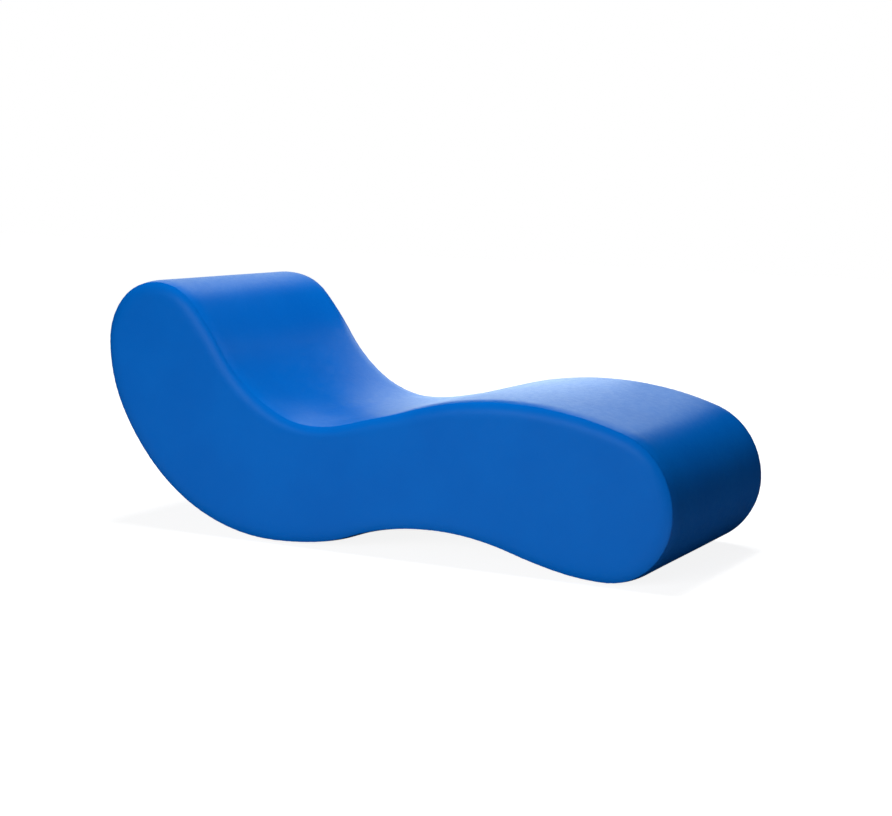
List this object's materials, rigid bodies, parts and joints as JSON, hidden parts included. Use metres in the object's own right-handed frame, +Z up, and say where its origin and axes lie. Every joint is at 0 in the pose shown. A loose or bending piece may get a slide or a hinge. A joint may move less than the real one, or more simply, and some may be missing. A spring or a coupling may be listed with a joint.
{
  "type": "relaxation lounger",
  "caption": "Wave-shaped relaxation lounger with a raised back, hollow seat and knee crest, upholstered all over in blue artificial leather on foam and a plywood frame.",
  "frame": {"origin": "on the floor, midway along the body and midway across it", "axes": "+X along the body towards the foot end, +Y to the left of a person lying on it, +Z up"},
  "size_m": [1.602, 0.715, 0.657],
  "materials": {
    "cover_leatherette": "satin with a fine pressed grain",
    "comfort_foam": "open-cell foam, matt",
    "birch_plywood": "sanded, unfinished",
    "beech_rail": "planed, unfinished",
    "zinc_screw": "yellow zinc plated",
    "glide_plastic": "matt"
  },
  "bodies": {
    "root": {"lying_cover": "cover_leatherette", "base_cover": "cover_leatherette", "left_side_cover": "cover_leatherette", "right_side_cover": "cover_leatherette", "head_roll_foam": "comfort_foam", "back_foam": "comfort_foam", "seat_foam": "comfort_foam", "leg_foam": "comfort_foam", "foot_roll_foam": "comfort_foam", "base_foam": "comfort_foam", "left_side_foam": "comfort_foam", "right_side_foam": "comfort_foam", "lying_deck": "birch_plywood", "base_deck": "birch_plywood", "left_rib": "birch_plywood", "centre_rib": "birch_plywood", "right_rib": "birch_plywood", "head_top_rail": "beech_rail", "head_back_rail": "beech_rail", "head_slope_rail": "beech_rail", "head_base_rail": "beech_rail", "arch_start_rail": "beech_rail", "arch_crown_rail": "beech_rail", "arch_end_rail": "beech_rail", "foot_base_rail": "beech_rail", "foot_end_rail": "beech_rail", "foot_brow_rail": "beech_rail", "knee_rail": "beech_rail", "thigh_rail": "beech_rail", "seat_rail": "beech_rail", "back_rail": "beech_rail", "rail_screws": "zinc_screw", "deck_screws": "zinc_screw", "glide_screws": "zinc_screw", "head_right_glide": "glide_plastic", "head_left_glide": "glide_plastic", "foot_right_glide": "glide_plastic", "foot_left_glide": "glide_plastic"}
  },
  "joints": []
}
